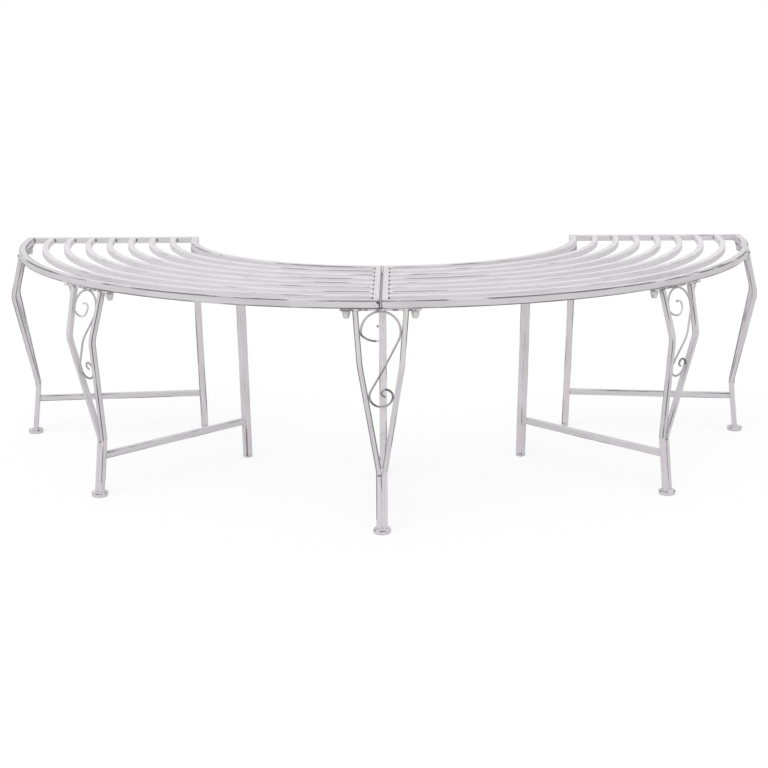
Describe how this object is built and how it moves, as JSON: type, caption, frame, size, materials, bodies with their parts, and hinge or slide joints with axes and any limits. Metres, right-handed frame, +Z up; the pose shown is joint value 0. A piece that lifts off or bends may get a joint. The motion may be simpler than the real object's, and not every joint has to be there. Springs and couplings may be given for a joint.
{
  "type": "half-round tree bench",
  "caption": "Half-round backless bench of square steel tube that wraps a tree trunk, with a slatted curved seat, splayed bent-tube legs with scrolls, and round feet.",
  "frame": {"origin": "on the floor under the middle of the bench's outer box. The axis of the tree lies 411.7 mm behind it, at +Y.", "axes": "+X to the right of someone who looks at the curved front from outside, -Y towards that person, +Y towards the tree and the straight back, +Z up"},
  "size_m": [1.6452, 0.8234, 0.43],
  "materials": {
    "paint": "antique white paint, satin, rubbed back to grey along the edges and welds",
    "nut_enamel": "smooth white enamel, satin",
    "white_plastic": "moulded, satin",
    "zinc": "zinc plated, dulled by weather"
  },
  "bodies": {
    "root": {"right_outer_rim": "paint", "right_inner_rim": "paint", "right_end_bar": "paint", "right_seam_bar": "paint", "right_slat_1": "paint", "right_slat_2": "paint", "right_slat_3": "paint", "right_slat_4": "paint", "right_slat_5": "paint", "right_slat_6": "paint", "right_slat_7": "paint", "left_outer_rim": "paint", "left_inner_rim": "paint", "left_end_bar": "paint", "left_seam_bar": "paint", "left_slat_1": "paint", "left_slat_2": "paint", "left_slat_3": "paint", "left_slat_4": "paint", "left_slat_5": "paint", "left_slat_6": "paint", "left_slat_7": "paint", "left_end_left_tube": "paint", "left_end_right_tube": "paint", "left_end_scroll": "paint", "left_end_outer_plate": "paint", "left_end_inner_leg": "paint", "left_end_stretcher": "paint", "left_middle_left_tube": "paint", "left_middle_right_tube": "paint", "left_middle_scroll": "paint", "left_middle_outer_plate": "paint", "left_middle_inner_leg": "paint", "left_middle_stretcher": "paint", "centre_left_tube": "paint", "centre_right_tube": "paint", "centre_scroll": "paint", "centre_outer_plate": "paint", "centre_inner_leg": "paint", "centre_stretcher": "paint", "right_middle_left_tube": "paint", "right_middle_right_tube": "paint", "right_middle_scroll": "paint", "right_middle_outer_plate": "paint", "right_middle_inner_leg": "paint", "right_middle_stretcher": "paint", "right_end_left_tube": "paint", "right_end_right_tube": "paint", "right_end_scroll": "paint", "right_end_outer_plate": "paint", "right_end_inner_leg": "paint", "right_end_stretcher": "paint", "inner_plates": "paint", "studs": "zinc", "washers": "zinc", "cap_nuts": "nut_enamel", "inner_screws": "zinc", "foot_discs": "paint", "leg_caps": "white_plastic"}
  },
  "joints": []
}
